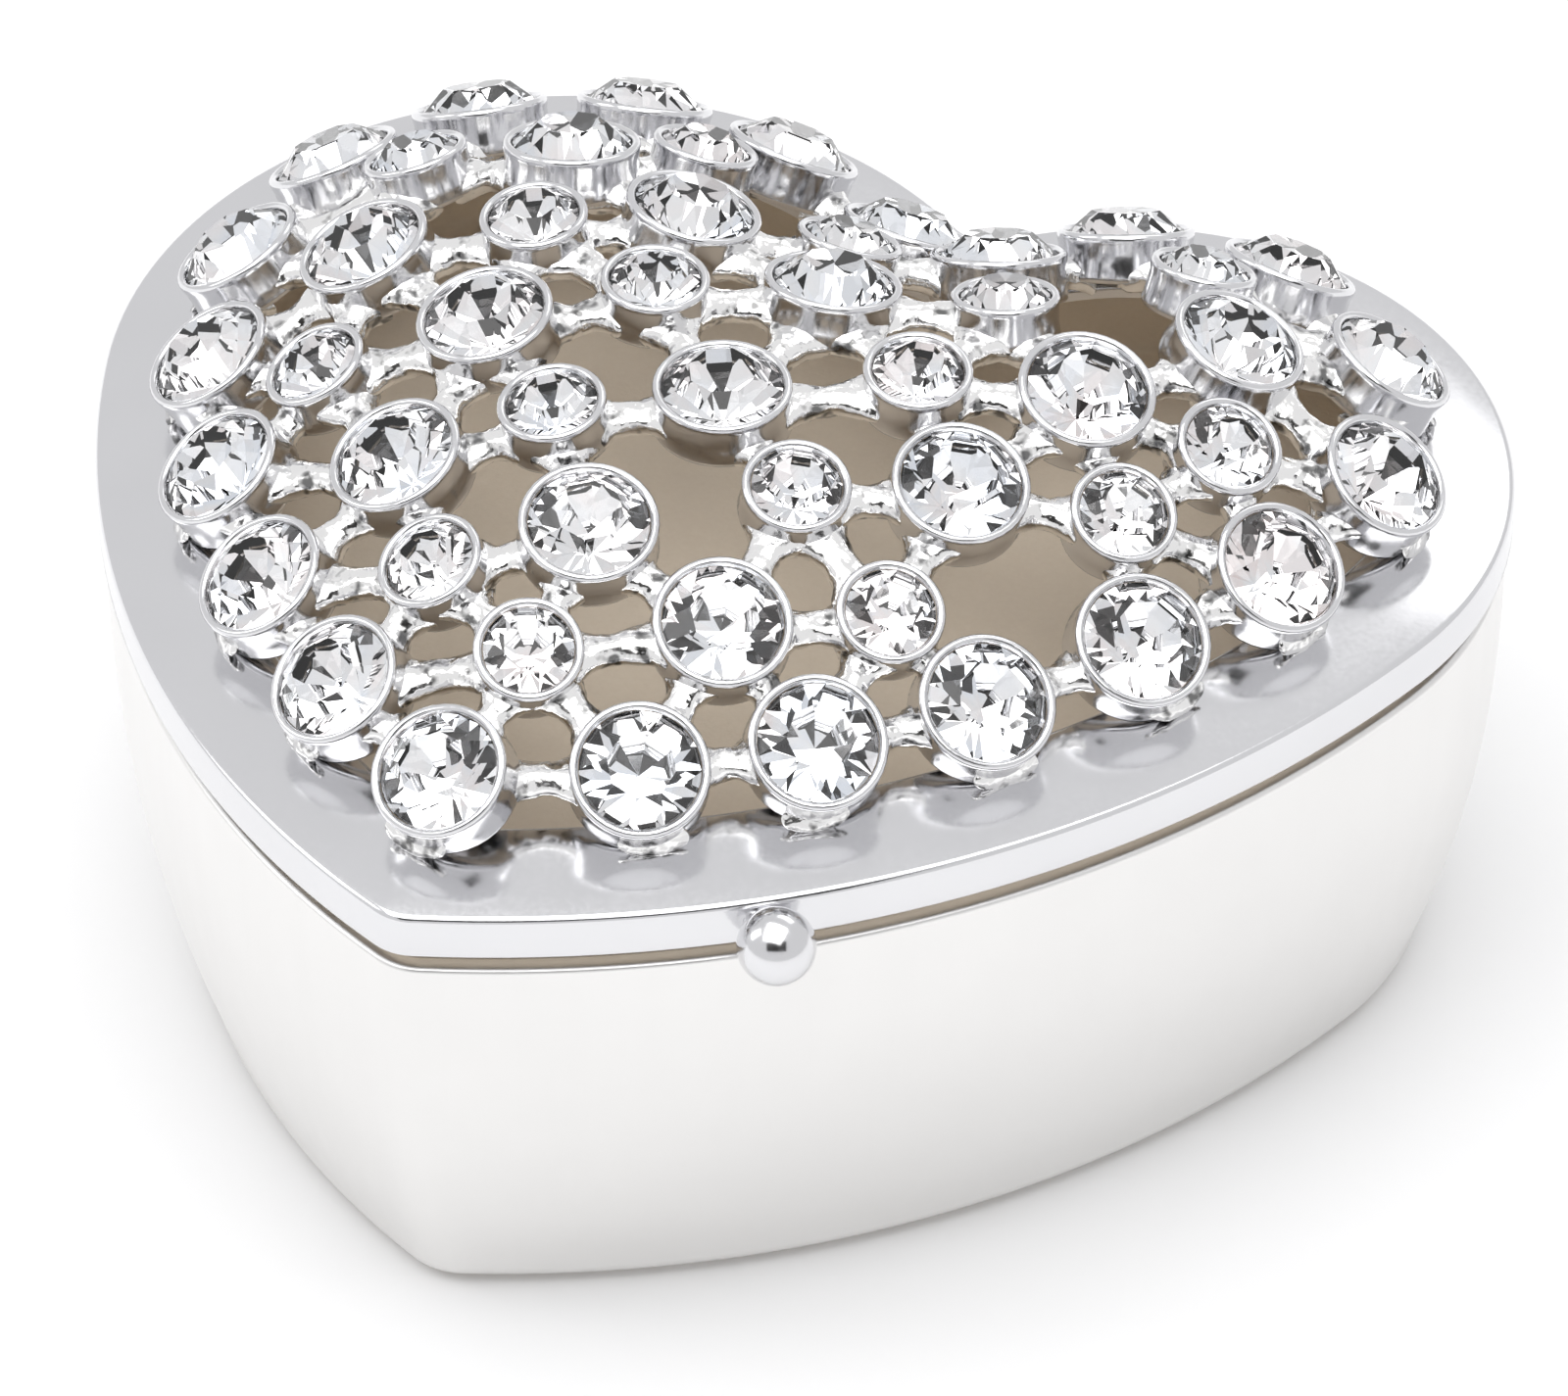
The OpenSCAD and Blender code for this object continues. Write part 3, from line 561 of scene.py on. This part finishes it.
def cutStone():
    # a unit stone: a round blank ground down facet by facet, on the crown and then on the point
    s = stone
    depth = s["crown"] + s["point"] + 0.1
    bpy.ops.mesh.primitive_cylinder_add(vertices=32, radius=1, depth=depth, end_fill_type="NGON",
                                        location=(0, 0, s["crown"] - depth / 2))
    piece = bpy.context.object
    piece.name = piece.data.name = "cutStone"
    piece.data.transform(Matrix.Translation(piece.location))
    piece.location = (0, 0, 0)
    tableEdge, edge = 1 - s["table"] * 0.97, s["edge"]
    cuts = [(8, 0, (s["crown"], tableEdge), (1, 0)), (8, 22.5, (s["crown"] * 1.1, tableEdge), (1, 0)),
            (8, 0, (s["point"], -1), (1, -edge)), (8, 22.5, (s["point"] * 1.1, -1), (1, -edge))]
    activate(piece)
    bpy.ops.object.mode_set(mode="EDIT")
    for count, first, (outward, upward), (radius, height) in cuts:
        for k in range(count):
            a = math.radians(first + 360 / count * k)
            bpy.ops.mesh.select_all(action="SELECT")
            bpy.ops.mesh.bisect(plane_co=(radius * math.cos(a), radius * math.sin(a), height),
                                plane_no=(outward * math.cos(a), outward * math.sin(a), upward),
                                use_fill=True, clear_outer=True)
    bpy.ops.mesh.select_all(action="SELECT")
    bpy.ops.mesh.remove_doubles(threshold=0.004)
    bpy.ops.mesh.normals_make_consistent(inside=False)
    bpy.ops.object.mode_set(mode="OBJECT")
    piece.data.materials.append(crystal)
    piece.data.materials.append(foil)
    for face in piece.data.polygons:
        face.material_index = 1 if face.normal.z < -0.2 else 0
    print("cut stone", len(piece.data.polygons), "faces")
    return piece


def seated(seat, turn=0.0):
    centre, axis, radius = seat
    return (Matrix.Translation(centre) @ axis.to_track_quat("Z", "Y").to_matrix().to_4x4()
            @ Matrix.Rotation(turn, 4, "Z") @ Matrix.Scale(radius, 4))


def buildStones():
    blank = cutStone()
    names = {"outer_row_stones": "outerStones", "inner_large_stones": "innerStones",
             "small_stones": "smallStones"}
    for node, name in names.items():
        parts = [copied(blank, seated(seat, 0.9 * k)) for k, seat in enumerate(seats[node])]
        piece = joined(name, parts)
        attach(piece, "lid")
        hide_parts(node)
    removed(blank)


# Openwork: a cup round each stone, and flared bars from cup to cup and down to the rim

web = {"wall": 0.75, "height": 3.2, "bead": 0.32, "around": 40, "root": 2.1, "linkMax": 5.0, "bar": (1.25, 1.1),
       "flare": (3.0, 1.25), "flarePower": 2.0, "bury": 0.4, "barAround": 14, "stations": 9,
       "grain": 0.45, "grainSize": 1.2}


def buildCup(radius):
    r, w, low, b = radius, web["wall"], -web["height"], web["bead"]
    profile = [(r * 0.84, low + 0.2), (r * 0.86, -1.2), (r + 0.04, -0.25)]
    profile += [(r + w / 2 + b * math.cos(math.radians(a)), 0.02 + b * math.sin(math.radians(a)))
                for a in (200, 165, 130, 95, 60, 25, -10)]
    profile += [(r + w - 0.08, -0.3), (r + w - 0.16, -0.75), (r + w - 0.14, -1.9), (r + w, low + 0.45),
                (r + w - 0.05, low + 0.15), (r + w - 0.35, low)]
    return turned("cup", profile + profile[:1], web["around"])


def buildBar():
    # one metre long for stretching to fit, wide and low where it runs into the cups
    angles = [2 * math.pi * k / web["barAround"] for k in range(web["barAround"])]
    rings = [[(0, 0, 0)] * len(angles)]
    for k in range(web["stations"]):
        f = k / (web["stations"] - 1)
        flared = abs(2 * f - 1) ** web["flarePower"]
        wide, tall = [(b + (e - b) * flared) * mm for b, e in zip(web["bar"], web["flare"])]
        rings.append([(wide * math.cos(a), tall * math.sin(a), f) for a in angles])
    return wrapped("bar", rings + [[(0, 0, 1)] * len(angles)])


def between(start, end):
    return (Matrix.Translation(start) @ (end - start).to_track_quat("Z", "Y").to_matrix().to_4x4()
            @ Matrix.Diagonal((1, 1, (end - start).length, 1)))


def buildWeb():
    every = [seat for node in seats for seat in seats[node]]
    roots = [centre - axis * web["root"] * mm for centre, axis, radius in every]
    wall, bury = web["wall"] * mm, web["bury"] * mm
    models = {}
    cups, bars = [], []
    for centre, axis, radius in every:
        size = round(radius / mm, 2)
        if size not in models:
            models[size] = buildCup(size)
        cups.append(copied(models[size], seated((centre, axis, 1.0))))
    bar = buildBar()
    links = 0
    for i, (centre, axis, radius) in enumerate(every):
        for j in range(i + 1, len(every)):
            run = roots[j] - roots[i]
            if run.length - radius - every[j][2] - 2 * wall < web["linkMax"] * mm:
                u = run.normalized()
                start, end = roots[i] + u * (radius - bury), roots[j] - u * (every[j][2] - bury)
                bars.append(copied(bar, between(start, end)))
                links += 1
    shelf = [Vector((p.x * mm, p.y * mm, (rim["innerTop"] - 0.7) * mm)) for p in heartLoop(rim["band"] - 0.3)]
    for root, (centre, axis, radius) in zip(roots, seats["outer_row_stones"]):
        foot = min(shelf, key=lambda p: (p.xy - centre.xy).length)
        run = foot - root
        side = (run - axis * run.dot(axis)).normalized()
        bars.append(copied(bar, between(root + side * (radius + wall * 0.5), foot)))
    print(len(cups), "cups,", links, "links,", len(bars) - links, "struts")
    removed(bar, *models.values())
    cupPiece = joined("stoneCups", cups)
    smooth(cupPiece, 60)
    dressed(cupPiece, finishes["polished_silver"], "lid", "cast_silver")
    barPiece = joined("openworkBars", bars)
    modify(barPiece, "SUBSURF", levels=1, render_levels=1)
    grain = bpy.data.textures.new("castGrain", "CLOUDS")
    grain.noise_scale = web["grainSize"] * mm
    grain.noise_depth = 2
    modify(barPiece, "DISPLACE", texture=grain, strength=web["grain"] * mm, mid_level=0.5)
    smooth(barPiece, 60)
    dressed(barPiece, finishes["cast_silver"], "lid", "cast_silver", "lid_setting_web")


buildStones()
buildWeb()
print("stones and openwork ready")

# Knob on the rim

knobLow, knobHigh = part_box("lid_knob")
knob = {"radius": 2.75, "stem": 0.9, "sunk": 0.9}


def buildKnob():
    # the ball's middle is set from the far corner of the CAD knob's box
    r = knob["radius"]
    middle = Vector((knobHigh.x / mm - r, knobLow.y / mm + r, knobHigh.z / mm - r))
    ring = min(heartLoop(0), key=lambda p: (p - middle.xy).length)
    inward = Vector((ring.x - middle.x, ring.y - middle.y, 0)).normalized()
    reach = (Vector((ring.x, ring.y, middle.z)) - middle).length
    angles = [math.radians(a) for a in range(6, 156, 6)]
    stem, end = knob["stem"], reach + knob["sunk"]
    profile = [(0.0, -r)] + [(r * math.sin(a), -r * math.cos(a)) for a in angles]
    profile += [(stem + 0.12, r - 0.25), (stem, r - 0.05), (stem, end), (0.0, end)]
    piece = turned("ballKnob", profile, 64)
    turn = inward.to_track_quat("Z", "Y").to_matrix().to_4x4()
    piece.data.transform(Matrix.Translation(middle * mm) @ turn)
    smooth(piece, 60)
    return dressed(piece, finishes["polished_silver"], "lid", "polished_silver", "lid_knob")


buildKnob()
print("knob ready")

# Hinges, key, base and movement: the CAD solids with merged meshes, softened edges and their own finishes

softened = {  # node: bevel width in millimetres, 0 for none
    "body_hinge_leaves": 0.15, "lid_hinge_leaves": 0.15, "hinge_pins": 0.12, "winding_key": 0.2,
    "base_plate": 0, "base_plate_screws": 0.12, "movement_screws": 0.12, "movement_bedplate": 0.15,
    "spring_housing": 0.2, "mainspring": 0, "winding_arbor": 0.15, "crown_wheel": 0, "cylinder_drum": 0.1,
    "cylinder_pins": 0, "cylinder_shaft": 0.12, "cylinder_pinion": 0, "cylinder_gear": 0,
    "cylinder_bracket": 0.12, "governor_plates": 0.12, "comb": 0, "comb_base": 0.15, "comb_screws": 0.12,
    "governor_shaft": 0.1, "governor_pinion": 0, "governor_wheel": 0, "governor_screw": 0,
    "fly_arbor": 0.05, "governor_fly": 0.05, "stop_rod": 0.1, "stop_rod_guide": 0.15,
}
slotOf = {row["node"]: row["material_slot"] for row in frame["record"]["subparts"]}
bodyOf = {node: name for name, nodes in frame["record"]["behaviour"]["bodies"].items() for node in nodes}


def soften(node, width):
    piece = copied(frame["nodes"][node], Matrix.Identity(4), node + "_finished")
    piece.parent = None
    mergeAndFace(piece, 1e-6)
    if width:
        modify(piece, "BEVEL", width=width * mm, segments=2, limit_method="ANGLE", angle_limit=math.radians(40))
    smooth(piece, 35)
    dressed(piece, finishes[slotOf[node]], bodyOf[node], slotOf[node], node)


for node, width in softened.items():
    soften(node, width)
print("hinges, key, base and movement ready")
